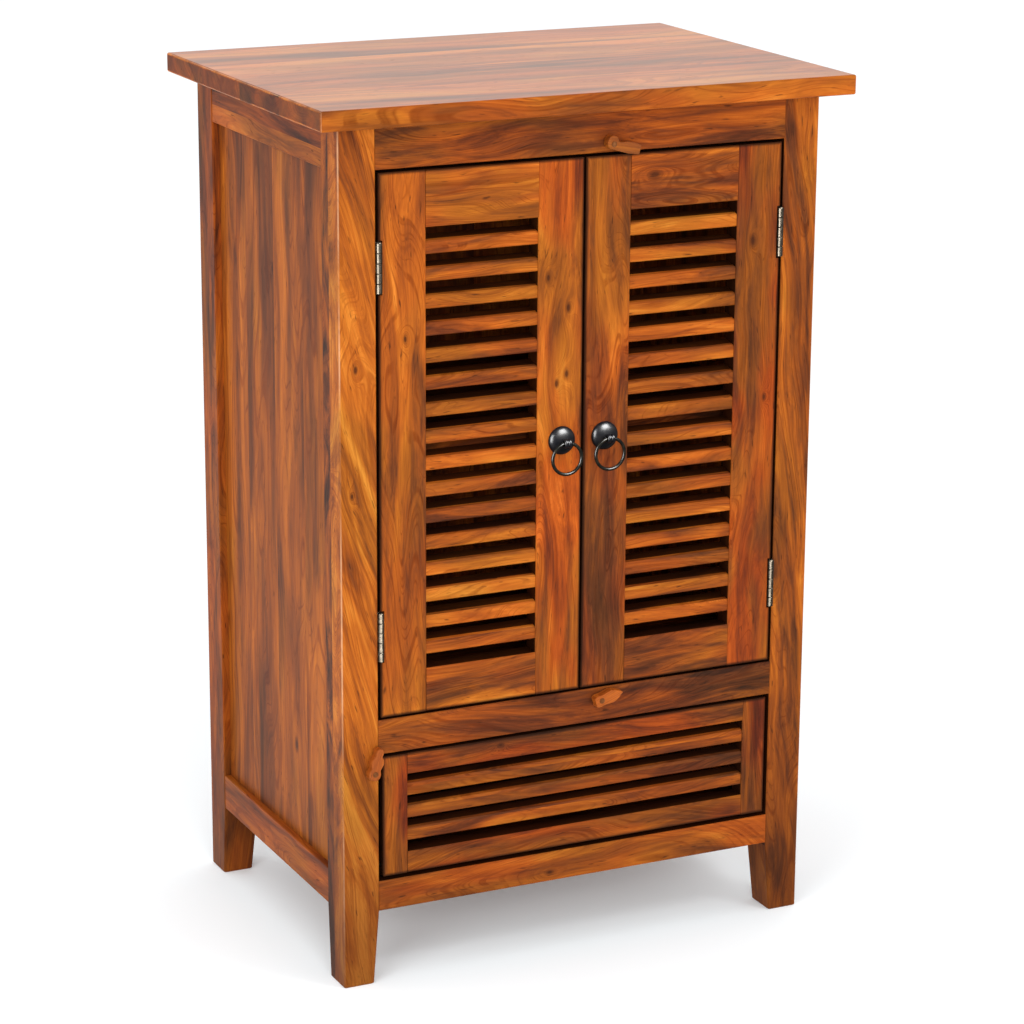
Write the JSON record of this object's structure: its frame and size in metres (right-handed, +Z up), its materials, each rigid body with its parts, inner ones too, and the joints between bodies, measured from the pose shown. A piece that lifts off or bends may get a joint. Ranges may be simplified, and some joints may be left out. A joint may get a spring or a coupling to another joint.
{
  "type": "louvred door cabinet",
  "caption": "Upright wooden cabinet with two louvred doors over a louvred drop flap, on tapered legs, with ring pulls and turn-buttons.",
  "frame": {"origin": "on the floor, under the middle of the top board", "axes": "+X to the right of someone facing the doors, +Y to the back, +Z up"},
  "size_m": [0.58, 0.42, 0.9],
  "materials": {
    "rosewood_top": "satin lacquer",
    "rosewood_frame": "satin lacquer",
    "rosewood_panels": "satin lacquer",
    "rosewood_doors": "satin lacquer",
    "rosewood_slats": "satin lacquer",
    "rosewood_inside": "thin lacquer",
    "rosewood_buttons": "satin lacquer",
    "black_iron": "satin black",
    "hinge_steel": "bright",
    "screw_steel": "dull"
  },
  "bodies": {
    "cabinet": {"top_board": "rosewood_top", "front_left_post": "rosewood_frame", "front_right_post": "rosewood_frame", "back_left_post": "rosewood_frame", "back_right_post": "rosewood_frame", "left_side_top_rail": "rosewood_frame", "right_side_top_rail": "rosewood_frame", "left_side_bottom_rail": "rosewood_frame", "right_side_bottom_rail": "rosewood_frame", "front_top_rail": "rosewood_frame", "front_middle_rail": "rosewood_frame", "front_bottom_rail": "rosewood_frame", "back_top_rail": "rosewood_frame", "back_bottom_rail": "rosewood_frame", "left_side_panel": "rosewood_panels", "right_side_panel": "rosewood_panels", "back_panel": "rosewood_panels", "bottom_board": "rosewood_inside", "middle_board": "rosewood_inside", "shelf": "rosewood_inside", "shelf_cleats": "rosewood_inside", "board_cleats": "rosewood_inside", "door_stop": "rosewood_inside", "flap_stops": "rosewood_inside", "corner_blocks": "rosewood_inside", "left_frame_leaves": "hinge_steel", "right_frame_leaves": "hinge_steel", "hinge_pins": "hinge_steel", "turn_button_screws": "screw_steel"},
    "left_door": {"left_door_hinge_stile": "rosewood_doors", "left_door_meeting_stile": "rosewood_doors", "left_door_top_rail": "rosewood_doors", "left_door_bottom_rail": "rosewood_doors", "left_door_slats": "rosewood_slats", "left_pull_rose": "black_iron", "left_pull_eye": "black_iron", "left_pull_nut": "black_iron", "left_door_leaves": "hinge_steel"},
    "right_door": {"right_door_hinge_stile": "rosewood_doors", "right_door_meeting_stile": "rosewood_doors", "right_door_top_rail": "rosewood_doors", "right_door_bottom_rail": "rosewood_doors", "right_door_slats": "rosewood_slats", "right_pull_rose": "black_iron", "right_pull_eye": "black_iron", "right_pull_nut": "black_iron", "right_door_leaves": "hinge_steel"},
    "flap": {"flap_left_stile": "rosewood_doors", "flap_right_stile": "rosewood_doors", "flap_top_rail": "rosewood_doors", "flap_bottom_rail": "rosewood_doors", "flap_slats": "rosewood_slats", "flap_pivot_pins": "hinge_steel"},
    "left_ring": {"left_pull_ring": "black_iron"},
    "right_ring": {"right_pull_ring": "black_iron"},
    "top_button": {"top_turn_button": "rosewood_buttons"},
    "middle_button": {"middle_turn_button": "rosewood_buttons"},
    "flap_button": {"flap_turn_button": "rosewood_buttons"}
  },
  "joints": [
    {"name": "left_door_swing", "type": "hinge", "parent": "cabinet", "child": "left_door", "pos_m": [-0.221, -0.185, 0.559], "axis": [0, 0, -1], "range_deg": [0, 170]},
    {"name": "right_door_swing", "type": "hinge", "parent": "cabinet", "child": "right_door", "pos_m": [0.221, -0.185, 0.559], "axis": [0, 0, 1], "range_deg": [0, 170]},
    {"name": "flap_drop", "type": "hinge", "parent": "cabinet", "child": "flap", "pos_m": [0, -0.1745, 0.125], "axis": [1, 0, 0], "range_deg": [0, 105]},
    {"name": "left_ring_lift", "type": "hinge", "parent": "left_door", "child": "left_ring", "pos_m": [-0.024, -0.198, 0.5495], "axis": [-1, 0, 0], "range_deg": [0, 110]},
    {"name": "right_ring_lift", "type": "hinge", "parent": "right_door", "child": "right_ring", "pos_m": [0.024, -0.198, 0.5495], "axis": [-1, 0, 0], "range_deg": [0, 110]},
    {"name": "top_button_turn", "type": "hinge", "parent": "cabinet", "child": "top_button", "pos_m": [0.026, -0.1893, 0.8454], "axis": [0, -1, 0], "range_deg": [-75, 105]},
    {"name": "middle_button_turn", "type": "hinge", "parent": "cabinet", "child": "middle_button", "pos_m": [0.021, -0.1893, 0.2708], "axis": [0, 1, 0], "range_deg": [-75, 105]},
    {"name": "flap_button_turn", "type": "hinge", "parent": "cabinet", "child": "flap_button", "pos_m": [-0.2315, -0.1893, 0.2295], "axis": [0, -1, 0], "range_deg": [-75, 105]}
  ]
}
